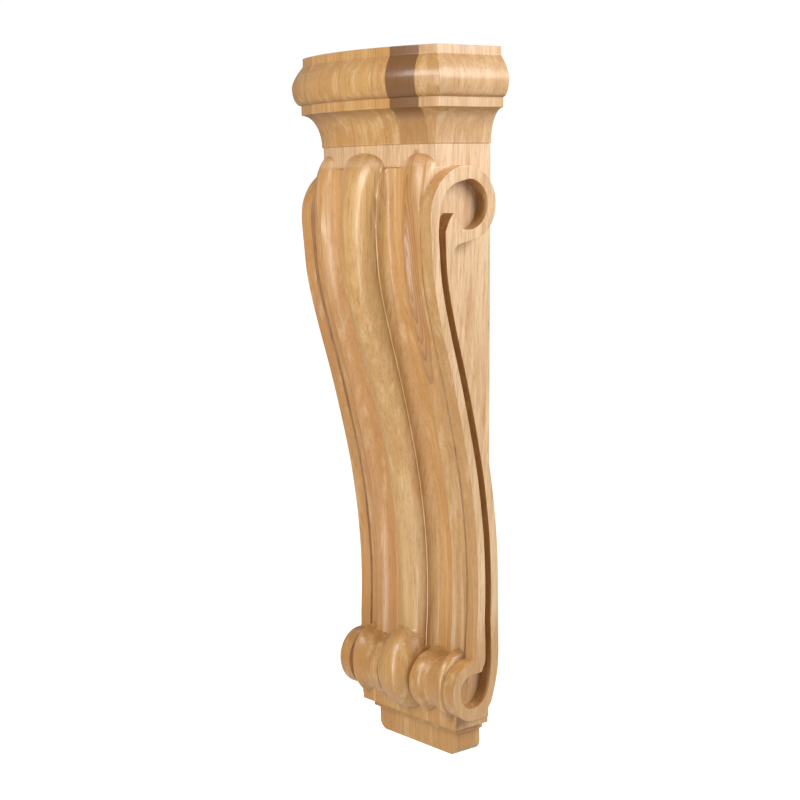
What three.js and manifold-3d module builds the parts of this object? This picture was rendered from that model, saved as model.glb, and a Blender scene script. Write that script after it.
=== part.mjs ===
// A tall, shallow wooden corbel, carved from one glued-up blank: a moulded cap with a bowed front, a reeded
// front that sweeps back in an S, a scroll on each side, a row of rolls at its foot, and a stepped base.
// Millimetres, +Z up, front towards -Y. The flat back lies in the plane y = 0 with the origin at its centre.

import * as THREE from 'three';
import { mergeVertices } from 'three/addons/utils/BufferGeometryUtils.js';
import Module from 'manifold-3d';

// Overall height, from the underside of the base to the top of the cap.
const height = 558.8;

// Cap and neck. Heights here are measured down from the top, and the bow is the arc of the neck's front in plan.
const neckHalfWidth = 70.1;
const neckBowRadius = 187;
const neckCornerDepth = 54.5;
const topFilletHeight = 6.6;
const topFilletProjection = 13.5;
const torusHeight = 31;
const torusProjection = 22;
const torusWidest = 0.46;
const torusShoulder = 1.6;
const lowerFilletHeight = 7.7;
const lowerFilletProjection = 15.3;
const coveHeight = 26.2;
const coveToeProjection = 1;
const neckHeight = 17.3;

// Base, from its upper course to the block below it.
const baseHalfWidth = 59;
const baseDepth = 34.7;
const baseBlockHeight = 19.7;
const baseBlockInset = 10;
const baseBlockRound = 8;
const baseFilletHeight = 6;
const baseFilletInset = 6.5;
const baseCourseHeight = 13.8;

// Side panels lean in from the neck to the foot.
const footHalfWidth = 60.2;

// Front of the side scrolls: depth from the wall, at shares of the way from the lower eye up to the upper eye.
const pathShares = [0, 0.08, 0.16, 0.24, 0.34, 0.45, 0.55, 0.65, 0.76, 0.85, 0.94];
const pathDepths = [24.6, 24.4, 22.5, 22.3, 24.7, 30.5, 38.5, 47.8, 59.2, 66.8, 69.6];

// Reeding across the front, as shares of the panel's half-width.
const arrisShare = 0.3;
const coveShare = 0.45;
const reedShare = 0.757;
const borderShare = 0.955;
const quirkShare = 0.975;

// Reeding heights, measured from the front of the scrolls, below the neck and along the slender shank.
const shoulder = { crest: 18.6, arris: 4, cove: -5.5, reed: 2.9, border: -1.5, quirk: -5 };
const shank = { crest: 12.5, arris: 4.2, cove: -4.5, reed: 3.1, border: -0.6, quirk: -4.5 };
const shoulderFrom = 0.85;
const shankFrom = 0.45;

// The reeds turn back into the neck along a squared ellipse, and the quirk closes where the scroll turns away.
// These are drops below the foot of the neck. The bead and the outer reeds end in arches a little way up the
// neck's face. Each arch has its foot and its peak at shares of the half-width.
const bulgeDrop = 60;
const quirkDrops = [40, 18];
const bulgeSquareness = 2.3;
const beadArch = { rise: 11.5, foot: 0.34 };
const reedArch = { rise: 10.5, foot: 0.44, peak: 0.79 };
const headSpread = 0.15;
const shoulderEdge = -3.5;
const reedRootSink = 1.5;

// Rolls at the foot, about an axis through the lower eyes: a ball, a notch, a barrel that starts with a crisp
// rim, a waist, and a flange that flares out beside each drum. Each has a reach to the front and a
// half-height, and the ball stands above the axis.
const rimShare = 0.344;
const waistShare = 0.6;
const flangeShare = 0.87;
const rollReach = { ball: 33, notch: 17.5, rim: 23.5, bulge: 2.5, waist: 19.5, flange: 22, edge: 20, quirk: 17.5 };
const rollHalfHeight = { ball: 35.5, notch: 19, rim: 24, bulge: 2.5, waist: 22, flange: 30, edge: 27, quirk: 23 };
const ballLift = 6;

// Side scrolls: bands and groove across, and the two eyes.
const scrollThickness = 12.1;
const frontBand = 7.6;
const groove = 6.1;
const rearBand = 7.6;
const upperEyeDepth = 32.5;
const upperEyeDrop = 28.5;
const upperEyeRadius = 19;
const upperRim = 27.4;
const lowerEyeDepth = 26.5;
const lowerEyeHeight = 60;
const lowerEyeRadius = 13.9;
const lowerRim = 21.8;
const lowerRimTallness = 1.1;

// Mesh fineness.
const bowSteps = 16;
const roundSteps = 6;
const sink = 0.4;

const coursesHeight = baseBlockHeight + baseFilletHeight + baseCourseHeight;
const filletFoot = height - topFilletHeight;
const torusFoot = filletFoot - torusHeight;
const lowerFilletFoot = torusFoot - lowerFilletHeight;
const neckTop = lowerFilletFoot - coveHeight;
const neckFoot = neckTop - neckHeight;
const upperEye = { depth: upperEyeDepth, height: neckFoot - upperEyeDrop };
const lowerEye = { depth: lowerEyeDepth, height: lowerEyeHeight };
const bulgeHeight = neckFoot - bulgeDrop;
const reedTop = neckFoot + Math.max(beadArch.rise, reedArch.rise);
const bowCentre = Math.sqrt(neckBowRadius ** 2 - neckHalfWidth ** 2) - neckCornerDepth;

const wasm = await Module();
wasm.setup();

function mix(a, b, t) {
  return a + (b - a) * t;
}

function smooth(from, to, value) {
  return THREE.MathUtils.smoothstep(value, from, to);
}

// Half-width of the plain side panels at a height.
function panelHalfWidth(z) {
  const climb = (z - coursesHeight) / (neckFoot - coursesHeight);
  return mix(footHalfWidth, neckHalfWidth, Math.min(1, climb));
}

// Depth of the bowed front at x, for an outline set out from the neck by a projection.
function bowDepth(x, projection) {
  return Math.sqrt((neckBowRadius + projection) ** 2 - x ** 2) - bowCentre;
}

// Height at a share of the way from the lower eye up to the upper eye.
function heightAt(share) {
  return mix(lowerEye.height, upperEye.height, share);
}

// Depth of the scrolls' front at a height.
const pathTop = heightAt(pathShares[pathShares.length - 1]);
const pathCurve = new THREE.CubicInterpolant(pathShares.map(heightAt), pathDepths, 1);

function pathDepth(z) {
  return pathCurve.evaluate(THREE.MathUtils.clamp(z, lowerEye.height, pathTop))[0];
}

// Height of one section of the reeding at a share of the half-width, from the heights of its six elements.
// The flutes meet in crisp arrises, or in full rounds where roundness is 1.
function sectionHeight(share, form, roundness) {
  if (share < arrisShare) {
    return mix(form.arris, form.crest, Math.sqrt(1 - (share / arrisShare) ** 2));
  }
  if (share < coveShare) {
    const t = (coveShare - share) / (coveShare - arrisShare);
    return mix(form.cove, form.arris, 1 - Math.sqrt(1 - t ** 2));
  }
  if (share < reedShare) {
    const t = (share - coveShare) / (reedShare - coveShare);
    return mix(form.cove, form.reed, mix(t ** 2, (1 - Math.cos(Math.PI * t)) / 2, roundness));
  }
  if (share <= borderShare) {
    const t = (share - reedShare) / (borderShare - reedShare);
    return mix(form.border, form.reed, mix((1 - t) ** 2, Math.sqrt(1 - t ** 2), roundness));
  }
  const t = Math.min(1, (share - borderShare) / (quirkShare - borderShare));
  return mix(form.border, form.quirk, t);
}

// One size of the rolls at a share of the half-width, from half the ball out to the quirk.
function rollSize(share, form) {
  if (share < arrisShare) {
    return mix(form.notch, form.ball, Math.sqrt(1 - (share / arrisShare) ** 2));
  }
  if (share < rimShare) {
    return mix(form.notch, form.rim, (share - arrisShare) / (rimShare - arrisShare));
  }
  if (share < waistShare) {
    const t = (share - rimShare) / (waistShare - rimShare);
    return mix(form.rim, form.waist, t) + form.bulge * Math.sin(Math.PI * t);
  }
  if (share < flangeShare) {
    const t = (share - waistShare) / (flangeShare - waistShare);
    return mix(form.waist, form.flange, t ** 1.6);
  }
  if (share < borderShare) {
    const t = (share - flangeShare) / (borderShare - flangeShare);
    return mix(form.flange, form.edge, t ** 2);
  }
  const t = Math.min(1, (share - borderShare) / (quirkShare - borderShare));
  return mix(form.edge, form.quirk, t);
}

// How far the reeding climbs the neck's face at a share of the half-width.
function archRise(share) {
  if (share < beadArch.foot) {
    return beadArch.rise * Math.sqrt(1 - (share / beadArch.foot) ** 2);
  }
  if (share < reedArch.peak) {
    const t = Math.max(0, (share - reedArch.foot) / (reedArch.peak - reedArch.foot));
    return (reedArch.rise * (1 - Math.cos(Math.PI * t))) / 2;
  }
  const t = Math.min(1, (share - reedArch.peak) / (1 - reedArch.peak));
  return reedArch.rise * Math.sqrt(1 - t ** 2);
}

// Outer side of the reed where it rounds into the side panel, above the quirk.
function shoulderHeight(share) {
  const t = THREE.MathUtils.clamp((share - reedShare) / (1 - reedShare), 0, 1);
  return mix(shoulderEdge, shoulder.reed, Math.sqrt(1 - t ** 2));
}

// Depth of the reeded front at a share of the half-width and a height.
function frontDepth(share, z) {
  const x = share * panelHalfWidth(z);
  const blend = smooth(heightAt(shankFrom), heightAt(shoulderFrom), z);
  const form = {};
  for (const name of Object.keys(shank)) {
    form[name] = mix(shank[name], shoulder[name], blend);
  }
  const bend = Math.max(0, (z - bulgeHeight) / (reedTop - bulgeHeight));
  const spread = share / (1 + headSpread * bend ** 2 * (1 - share ** 2));
  let section = sectionHeight(spread, form, Math.min(1, bend));
  if (share > reedShare) {
    const closed = smooth(neckFoot - quirkDrops[0], neckFoot - quirkDrops[1], z);
    section = mix(section, shoulderHeight(spread), closed);
  }
  let depth = pathDepth(z) + section;
  if (z > bulgeHeight) {
    const root = bowDepth(x, 0) - reedRootSink;
    const t = Math.min(1, (z - bulgeHeight) / (neckFoot + archRise(share) - bulgeHeight));
    depth = mix(root, depth, (1 - t ** bulgeSquareness) ** (1 / bulgeSquareness));
  }
  if (z < lowerEye.height) {
    const fall = Math.min(1, (lowerEye.height - z) / (lowerEye.height - coursesHeight));
    depth = mix(pathDepths[0], baseDepth, 1 - Math.sqrt(1 - fall ** 2));
  }
  const lift = ballLift * Math.sqrt(Math.max(0, 1 - (share / arrisShare) ** 2));
  const rise = (z - lowerEye.height - lift) / rollSize(share, rollHalfHeight);
  if (Math.abs(rise) < 1) {
    depth = Math.max(depth, lowerEye.depth + rollSize(share, rollReach) * Math.sqrt(1 - rise ** 2));
  }
  return depth;
}

// A closed solid through a stack of level outlines. It is a lathe whose rings are moved onto the outlines.
function stack(levels, outlineAt, core) {
  const profile = [new THREE.Vector2(0, levels[0])];
  for (const z of levels) {
    profile.push(new THREE.Vector2(1, z));
  }
  profile.push(new THREE.Vector2(0, levels[levels.length - 1]));
  const outlines = levels.map((z, level) => outlineAt(z, level));
  const sides = outlines[0].length;
  const geometry = new THREE.LatheGeometry(profile, sides);
  const place = geometry.attributes.position;
  for (let side = 0; side <= sides; side += 1) {
    for (let level = 0; level < profile.length; level += 1) {
      const vertex = side * profile.length + level;
      if (level === 0 || level === profile.length - 1) {
        place.setXYZ(vertex, 0, -core, profile[level].y);
      } else {
        const point = outlines[level - 1][side % sides];
        place.setXYZ(vertex, point.x, point.y, profile[level].y);
      }
    }
  }
  return geometry;
}

// Outline of a moulded course in plan: straight sides, flat back, and a front that is bowed or flat.
function courseOutline(halfWidth, depthAt, steps) {
  const outline = [new THREE.Vector2(-halfWidth, 0)];
  for (let i = 0; i <= steps; i += 1) {
    const x = mix(-halfWidth, halfWidth, i / steps);
    outline.push(new THREE.Vector2(x, -depthAt(x)));
  }
  outline.push(new THREE.Vector2(halfWidth, 0));
  return outline;
}

// Points of an arc in a moulding's profile, from one angle to another, as [projection, height].
function arc(projection, z, width, rise, from, to) {
  const points = [];
  for (let i = 0; i <= roundSteps; i += 1) {
    const angle = THREE.MathUtils.degToRad(mix(from, to, i / roundSteps));
    points.push([projection + width * Math.cos(angle), z + rise * Math.sin(angle)]);
  }
  return points;
}

// Cap and neck in one, from the neck's foot up.
function capGeometry() {
  const widest = mix(torusFoot, filletFoot, torusWidest);
  const roundFoot = torusProjection - lowerFilletProjection;
  const coveWidth = lowerFilletProjection - coveToeProjection;
  const profile = [
    [0, neckFoot],
    [0, neckTop],
    ...arc(lowerFilletProjection, neckTop, coveWidth, coveHeight, 180, 90),
    [lowerFilletProjection, torusFoot],
    ...arc(lowerFilletProjection, widest, roundFoot, widest - torusFoot, -90, 0).slice(1),
  ];
  for (let i = 1; i <= roundSteps; i += 1) {
    const t = i / roundSteps;
    profile.push([mix(torusProjection, topFilletProjection, t ** torusShoulder), mix(widest, filletFoot, t)]);
  }
  profile.push([topFilletProjection, height]);
  const outlineAt = (z, level) => {
    const projection = profile[level][0];
    return courseOutline(neckHalfWidth + projection, (x) => bowDepth(x, projection), bowSteps);
  };
  return stack(profile.map((point) => point[1]), outlineAt, neckCornerDepth / 2);
}

// Base: a block with its lower ends rounded, a fillet, and the course that carries the rolls.
function baseGeometry() {
  const round = baseBlockRound;
  const filletTop = baseBlockHeight + baseFilletHeight;
  const profile = [
    ...arc(-baseBlockInset - round, round, round, round, -90, 0),
    [-baseBlockInset, baseBlockHeight],
    [-baseFilletInset, baseBlockHeight],
    [-baseFilletInset, filletTop],
    [0, filletTop],
    [0, coursesHeight],
  ];
  const outlineAt = (z, level) => {
    const projection = profile[level][0];
    const depth = baseDepth + Math.max(projection, -baseBlockInset);
    return courseOutline(baseHalfWidth + projection, () => depth, 1);
  };
  return stack(profile.map((point) => point[1]), outlineAt, baseDepth / 4);
}

// Shares of the half-width at which the front is cut, so that every edge of the reeding has a line of its own.
function frontShares() {
  const shares = [];
  const add = (from, to, steps, bend) => {
    for (let i = 0; i < steps; i += 1) {
      shares.push(mix(from, to, bend(i / steps)));
    }
  };
  const rounded = (t) => Math.sin((t * Math.PI) / 2);
  const hollowed = (t) => 1 - Math.cos((t * Math.PI) / 2);
  add(0, arrisShare, 6, rounded);
  add(arrisShare, coveShare, 4, hollowed);
  add(coveShare, waistShare, 3, (t) => t);
  add(waistShare, reedShare, 3, (t) => t);
  add(reedShare, flangeShare, 2, (t) => t);
  add(flangeShare, borderShare, 2, (t) => t);
  shares.push(borderShare, quirkShare, 1);
  return shares;
}

// Heights at which the body is cut: by equal turns round the rolls and the top, and evenly between them.
function bodyLevels() {
  const levels = [];
  const ballHeight = lowerEye.height + ballLift;
  for (let angle = -90; angle < 90; angle += 9) {
    levels.push(ballHeight + rollHalfHeight.ball * Math.sin(THREE.MathUtils.degToRad(angle)));
  }
  const rollTop = ballHeight + rollHalfHeight.ball;
  const straight = 20;
  for (let i = 0; i < straight; i += 1) {
    levels.push(mix(rollTop, bulgeHeight, i / straight));
  }
  for (let angle = 0; angle <= 90; angle += 9) {
    levels.push(mix(bulgeHeight, reedTop, Math.sin(THREE.MathUtils.degToRad(angle))));
  }
  return levels;
}

// Body between the side panels, with its reeded front and its rolls.
function bodyGeometry() {
  const shares = frontShares();
  const outlineAt = (z) => {
    const halfWidth = panelHalfWidth(z);
    const outline = [new THREE.Vector2(-halfWidth, 0)];
    for (const share of [...shares].reverse()) {
      outline.push(new THREE.Vector2(-share * halfWidth, -frontDepth(share, z)));
    }
    for (const share of shares.slice(1)) {
      outline.push(new THREE.Vector2(share * halfWidth, -frontDepth(share, z)));
    }
    outline.push(new THREE.Vector2(halfWidth, 0));
    return outline;
  };
  return stack(bodyLevels(), outlineAt, pathDepths[0] / 2);
}

// Points down the scroll's path, set back from its front by a distance.
function pathPoints(from, to, setBack, steps) {
  const points = [];
  for (let i = 0; i <= steps; i += 1) {
    const z = mix(from, to, i / steps);
    points.push(new THREE.Vector2(Math.max(0, pathDepth(z) - setBack), z));
  }
  return points;
}

// Point on a circle about an eye, with 0 degrees to the front and 90 degrees up. Tallness stretches it upwards.
function around(eye, radius, degrees, tallness = 1) {
  const angle = THREE.MathUtils.degToRad(degrees);
  const rise = radius * tallness * Math.sin(angle);
  return new THREE.Vector2(eye.depth + radius * Math.cos(angle), eye.height + rise);
}

function turn(eye, radius, from, to, steps, tallness = 1) {
  const points = [];
  for (let i = 0; i <= steps; i += 1) {
    points.push(around(eye, radius, mix(from, to, i / steps), tallness));
  }
  return points;
}

// A smooth line through points, without its last one.
function flowing(points, steps) {
  return new THREE.SplineCurve(points).getPoints(steps).slice(0, -1);
}

// Side scroll seen from the side, as depth and height: its outline and the groove that opens into both eyes.
function scrollShape() {
  const setBack = frontBand + groove + rearBand;
  const top = pathTop;
  const front = pathDepths[pathDepths.length - 1];
  const rearTop = top - 2 * rearBand - upperEyeRadius;
  const wallTop = heightAt(0.24);
  const hookTop = heightAt(0.15);
  const hookReach = lowerEyeRadius + 2.6;
  const outline = [
    ...pathPoints(lowerEye.height + lowerRim * lowerRimTallness + 1, top, 0, 22).slice(0, -1),
    ...flowing([
      new THREE.Vector2(front, top),
      around(upperEye, upperRim + 11, -12),
      around(upperEye, upperRim + 8, 8),
      around(upperEye, upperRim + 5, 32),
      around(upperEye, upperRim + 2.9, 60),
      around(upperEye, upperRim + 1.9, 90),
      around(upperEye, upperRim + 0.6, 125),
      around(upperEye, upperRim, 150),
    ], 18),
    ...turn(upperEye, upperRim, 150, 262, 12),
    ...flowing([
      new THREE.Vector2(upperEye.depth + 2, upperEye.height - upperRim - 1),
      new THREE.Vector2(front - setBack - 4, top - 8),
      new THREE.Vector2(front - setBack - 1, top - 17),
      new THREE.Vector2(pathDepth(rearTop) - setBack, rearTop),
    ], 8),
    ...pathPoints(rearTop, wallTop, setBack, 18),
    new THREE.Vector2(0, lowerEye.height + 28),
    ...flowing([
      new THREE.Vector2(0.6, lowerEye.height + 16),
      new THREE.Vector2(2.6, lowerEye.height + 5),
      around(lowerEye, lowerRim, -155, lowerRimTallness),
    ], 4),
    ...turn(lowerEye, lowerRim, -155, 93, 24, lowerRimTallness),
  ];
  const hole = [
    ...flowing([
      around(upperEye, upperEyeRadius, 90),
      around(upperEye, upperEyeRadius + 2.6, 42),
      around(upperEye, upperEyeRadius + 7.2, 8),
      new THREE.Vector2(front - frontBand, upperEye.height - 16),
      new THREE.Vector2(front - frontBand, top - 4),
    ], 12),
    ...pathPoints(top - 14, hookTop, frontBand, 26).slice(0, -1),
    ...flowing([
      new THREE.Vector2(pathDepth(hookTop) - frontBand, hookTop),
      around(lowerEye, hookReach + 20.5, 109.5),
      around(lowerEye, hookReach + 9.5, 118),
      around(lowerEye, hookReach + 4, 119.5),
      around(lowerEye, hookReach, 121.5),
    ], 8),
    around(lowerEye, hookReach, 121.5),
    ...turn(lowerEye, lowerEyeRadius, 99, -143, 20).slice(0, -1),
    ...flowing([
      around(lowerEye, lowerEyeRadius, -143),
      around(lowerEye, lowerEyeRadius + 0.7, -166),
      around(lowerEye, lowerEyeRadius + 3.2, 167),
      around(lowerEye, lowerEyeRadius + 9.5, 140),
      around(lowerEye, lowerEyeRadius + 21.3, 121.5),
      new THREE.Vector2(pathDepth(hookTop) - frontBand - groove, hookTop),
    ], 9),
    ...pathPoints(hookTop, top - 14, frontBand + groove, 26),
    new THREE.Vector2(front - frontBand - groove - 0.5, top + 3),
    new THREE.Vector2(front - frontBand - groove - 3.5, top + 10.5),
    around(upperEye, upperEyeRadius - 2.4, -22),
    around(upperEye, upperEyeRadius - 1.4, -48),
    ...turn(upperEye, upperEyeRadius, -68, -258, 18),
  ];
  const shape = new THREE.Shape(outline);
  shape.holes.push(new THREE.Path(hole));
  return shape;
}

// One side scroll, standing on its panel and following the panel's lean. Side is 1 for right, -1 for left.
function scrollGeometry(side) {
  const settings = { depth: scrollThickness + sink, bevelEnabled: false };
  const geometry = new THREE.ExtrudeGeometry(scrollShape(), settings);
  const place = geometry.attributes.position;
  for (let i = 0; i < place.count; i += 1) {
    const depth = place.getX(i);
    const z = place.getY(i);
    const x = panelHalfWidth(z) - sink + place.getZ(i);
    place.setXYZ(i, side * x, -depth, z);
  }
  return geometry;
}

// A geometry as a solid with shared corners. Mirrored shapes are turned the right way out.
function solid(geometry, mirrored) {
  geometry.deleteAttribute('normal');
  geometry.deleteAttribute('uv');
  const welded = mergeVertices(geometry, 1e-4);
  const triangles = Uint32Array.from(welded.index.array);
  if (mirrored) {
    for (let i = 0; i < triangles.length; i += 3) {
      [triangles[i], triangles[i + 1]] = [triangles[i + 1], triangles[i]];
    }
  }
  return new wasm.Manifold(new wasm.Mesh({
    numProp: 3,
    vertProperties: Float32Array.from(welded.attributes.position.array),
    triVerts: triangles,
  }));
}

function corbelGeometry() {
  const pieces = [
    solid(baseGeometry(), false),
    solid(capGeometry(), false),
    solid(scrollGeometry(1), true),
    solid(scrollGeometry(-1), false),
  ];
  let whole = solid(bodyGeometry(), false);
  for (const piece of pieces) {
    whole = whole.add(piece);
  }
  const mesh = whole.getMesh();
  const geometry = new THREE.BufferGeometry();
  geometry.setAttribute('position', new THREE.BufferAttribute(mesh.vertProperties, 3));
  geometry.setIndex(new THREE.BufferAttribute(mesh.triVerts, 1));
  geometry.computeVertexNormals();
  return geometry;
}

const wood = new THREE.MeshStandardMaterial({ color: 0xcda674, roughness: 0.45, metalness: 0 });
const carving = new THREE.Mesh(corbelGeometry(), wood);
carving.name = 'carved_corbel';
carving.position.z = -height / 2;

const corbel = new THREE.Group();
corbel.add(carving);

export default corbel;
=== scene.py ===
import math

import bmesh
import bpy
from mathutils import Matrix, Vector


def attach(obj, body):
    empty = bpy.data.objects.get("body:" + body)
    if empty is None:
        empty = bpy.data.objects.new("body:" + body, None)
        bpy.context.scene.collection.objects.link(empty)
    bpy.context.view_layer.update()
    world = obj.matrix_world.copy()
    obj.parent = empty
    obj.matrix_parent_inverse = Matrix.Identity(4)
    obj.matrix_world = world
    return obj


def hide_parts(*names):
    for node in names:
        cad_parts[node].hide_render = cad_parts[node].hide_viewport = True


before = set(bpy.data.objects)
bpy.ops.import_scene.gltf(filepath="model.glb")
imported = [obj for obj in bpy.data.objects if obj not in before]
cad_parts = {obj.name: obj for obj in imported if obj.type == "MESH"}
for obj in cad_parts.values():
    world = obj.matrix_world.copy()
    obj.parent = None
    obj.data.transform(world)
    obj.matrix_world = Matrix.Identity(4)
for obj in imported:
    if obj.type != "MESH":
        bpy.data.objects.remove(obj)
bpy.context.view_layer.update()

# Sizes are in millimetres and heights are measured from the underside of the base. Each shape is made in
# those units, front towards -Y, and moved into the part's frame, in metres, when it is finished.
HEIGHT = 558.8

# Cap and neck, measured down from the top. Projections stand out from the neck.
NECK_HALF_WIDTH = 70.1
NECK_BOW_RADIUS = 187.0
NECK_CORNER_DEPTH = 54.5
TOP_FILLET_HEIGHT = 6.6
TOP_FILLET_PROJECTION = 13.5
TORUS_HEIGHT = 31.0
TORUS_PROJECTION = 22.0
TORUS_WIDEST = 0.46
TORUS_SHOULDER = 1.6
LOWER_FILLET_HEIGHT = 7.7
LOWER_FILLET_PROJECTION = 15.3
COVE_HEIGHT = 26.2
COVE_TOE_PROJECTION = 1.0
NECK_HEIGHT = 17.3

# Base.
BASE_HALF_WIDTH = 59.0
BASE_DEPTH = 34.7
BASE_BLOCK_HEIGHT = 19.7
BASE_BLOCK_INSET = 10.0
BASE_BLOCK_ROUND = 8.0
BASE_FILLET_HEIGHT = 6.0
BASE_FILLET_INSET = 6.5
BASE_COURSE_HEIGHT = 13.8

# The carved panel at its foot. At its head it is as wide as the neck.
FOOT_HALF_WIDTH = 60.2

# Front of the side scrolls: depth from the wall at shares of the way from the lower eye to the upper eye.
PATH_SHARES = (0, 0.08, 0.16, 0.24, 0.34, 0.45, 0.55, 0.65, 0.76, 0.85, 0.94)
PATH_DEPTHS = (24.6, 24.4, 22.5, 22.3, 24.7, 30.5, 38.5, 47.8, 59.2, 66.8, 69.6)

# Reeding across the front, as shares of the panel's half-width, and how far its elements stand out from the
# path at the shoulder and on the shank. One turns into the other between the last two shares of the way up.
ARRIS_SHARE = 0.3
COVE_SHARE = 0.45
REED_SHARE = 0.757
BORDER_SHARE = 0.955
QUIRK_SHARE = 0.975
SHOULDER = {"crest": 18.6, "arris": 4.0, "cove": -5.5, "reed": 2.9, "border": -1.5, "quirk": -5.0}
SHANK = {"crest": 12.5, "arris": 4.2, "cove": -4.5, "reed": 3.1, "border": -0.6, "quirk": -4.5}
SHOULDER_FROM = 0.85
SHANK_FROM = 0.45

# Crisp line beside the bead: sunk where the bead ends, and raised a little just outside it.
BEAD_SHARE = 0.279
LINE_SHARE = 0.288
LINE_DEPTH = 1.8
LINE_RISE = 0.4

# How the reeds turn back into the neck, and the arches in which they end on its face.
BULGE_DROP = 60.0
QUIRK_DROPS = (40.0, 18.0)
BULGE_SQUARENESS = 2.3
BEAD_ARCH_RISE = 11.5
BEAD_ARCH_FOOT = 0.34
REED_ARCH_RISE = 10.5
REED_ARCH_FOOT = 0.44
REED_ARCH_PEAK = 0.79
HEAD_SPREAD = 0.15
SHOULDER_EDGE = -3.5
ROOT_SINK = 1.5

# Rolls at the foot: a ball, a notch, a barrel that starts with a crisp rim, a waist, and a flange that flares
# out beside each drum. Each has a reach to the front and a half-height. The ball stands above the axis.
RIM_SHARE = 0.344
WAIST_SHARE = 0.6
FLANGE_SHARE = 0.87
ROLL_REACH = {
    "ball": 33.0, "notch": 17.5, "rim": 23.5, "bulge": 2.5, "waist": 19.5, "flange": 22.0, "edge": 20.0,
    "quirk": 17.5,
}
ROLL_HALF_HEIGHT = {
    "ball": 35.5, "notch": 19.0, "rim": 24.0, "bulge": 2.5, "waist": 22.0, "flange": 30.0, "edge": 27.0,
    "quirk": 23.0,
}
BALL_LIFT = 6.0
FLANGE_FLARE = 1.6

# Side scrolls.
SCROLL_THICKNESS = 12.1
FRONT_BAND = 7.6
GROOVE = 6.1
REAR_BAND = 7.6
UPPER_EYE_DEPTH = 32.5
UPPER_EYE_DROP = 28.5
UPPER_EYE_RADIUS = 19.0
UPPER_RIM = 27.4
LOWER_EYE_DEPTH = 26.5
LOWER_EYE_HEIGHT = 60.0
LOWER_EYE_RADIUS = 13.9
LOWER_RIM = 21.8
LOWER_RIM_TALLNESS = 1.1

# Where the lines of a side scroll leave a plain circle, as (distance beyond the radius of the rim or the eye,
# degrees about that eye), with 0 degrees to the front and 90 degrees up. The crown goes over the upper eye.
# The groove leaves that eye between its mouth and throat, and meets the lower eye at the hook.
CROWN = ((11, -12), (8, 8), (5, 32), (2.9, 60), (1.9, 90), (0.6, 125), (0, 150))
MOUTH = ((0, 90), (2.6, 42), (7.2, 8))
THROAT = ((-2.4, -22), (-1.4, -48))
HOOK_WIDTH = 2.6
HOOK_FRONT = ((20.5, 109.5), (9.5, 118), (4, 119.5), (0, 121.5))
HOOK_REAR = ((0, -143), (0.7, -166), (3.2, 167), (9.5, 140), (21.3, 121.5))

# The rear edge under the upper rim starts at (in front of the eye, below the rim) and goes on at (further
# back, below the head of the path). The tail is (depth, above the lower eye).
CHIN_START = (2, 1)
CHIN = ((4, 8), (1, 17))
TAIL = ((0, 28), (0.6, 16), (2.6, 5))

# The groove follows the front up to a little below the head of the path. Above, its rear bends at (further
# back, above the head). The shares say where the rear edge and the groove turn towards the lower eye.
GROOVE_STRAIGHT = 14
GROOVE_TOP = 4
MOUTH_DROP = 16
GROOVE_BEND = ((0.5, 3), (3.5, 10.5))
RIM_GAP = 1
REAR_TURN_SHARE = 0.24
HOOK_SHARE = 0.15

# Degrees over which the rims and the eyes are plain circles.
UPPER_RIM_TURN = (150, 262)
LOWER_RIM_TURN = (-155, 93)
UPPER_EYE_TURN = (-68, -258)
LOWER_EYE_TURN = (99, -143)

# Softened edges, the angles in degrees from which an edge is softened or drawn sharp, and how far the shapes
# run into each other and past the wall before they are trimmed.
SOFT_EDGE = 0.45
SOFT_ANGLE = 35
SHARP_ANGLE = 32
SINK = 0.4
PAST_WALL = 6.0
HIDDEN_LAP = 0.2

# How many steps a round shape is drawn in.
BOW_STEPS = 48
BASE_STEPS = 12
COVE_STEPS = 14
TORUS_STEPS = 12
BLOCK_ROUND_STEPS = 10

# Boards of the blank, seen on the front and on the sides. Each is (where it starts, how dark it is, how red
# it is, how its grain is shifted). The joints of the front lean with depth.
FRONT_BOARDS = (
    (-200, 0.42, 0.50, 0.10),
    (-67, 0.14, 0.20, 0.57),
    (-17, 0.06, 0.02, 0.43),
    (20.5, 0.20, 0.45, 0.71),
    (63, 0.40, 0.00, 0.27),
)
SIDE_BOARDS = (
    (-5, 0.04, 0.50, 0.35),
    (33.0, 0.00, 0.20, 0.62),
    (44.0, 0.06, 0.55, 0.15),
    (66.0, 0.05, 0.35, 0.52),
)
LAST_BOARD_WIDTH = 60
JOINT_LEAN = 0.44
JOINT_HALF_WIDTH = 0.25
JOINT_SOFTNESS = 0.2
DARK_BOARD = (35.0, 63.0)
DARK_BOARD_SOFTNESS = 0.3

# The dark board fades from the cap into the cove, and the joints from the neck into the carving, to these
# shares. The joints on the side panels are faint all the way.
FADE_HEIGHT = 9
DARK_BOARD_IN_COVE = 0.3
JOINTS_ON_CARVING = 0.25
JOINTS_ON_SIDE = 0.3

# A redder, darker tone on the left of the carving, over these depths and this stretch across the front.
REDDER_DEPTHS = (56.0, 80.0)
REDDER_ACROSS = (-30.0, -18.0)
REDDER_BY = 0.9

# Surfaces count as sideways or as turned to the wall from this share of their normal, and the side panels
# start at this distance from the middle.
SIDEWAYS = 0.7
TO_THE_WALL = 0.5
SIDE_FROM = 58.0

# A flat-sawn figure of nested ovals on the outer reed and a pale one on the bead. Each is (x, height,
# half-width, half-length), and its swirl is how far the broad grain bends it.
CATHEDRAL = (53.0, 392.0, 8.0, 78.0)
CATHEDRAL_SWIRL = 0.5
CATHEDRAL_LINES = 4.5
PALE_LEAF = (8.0, 160.0, 15.0, 75.0)
PALE_LEAF_SWIRL = 0.35
OVAL_POINT = 1.6
LINE_FINENESS = 2.2

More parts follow.
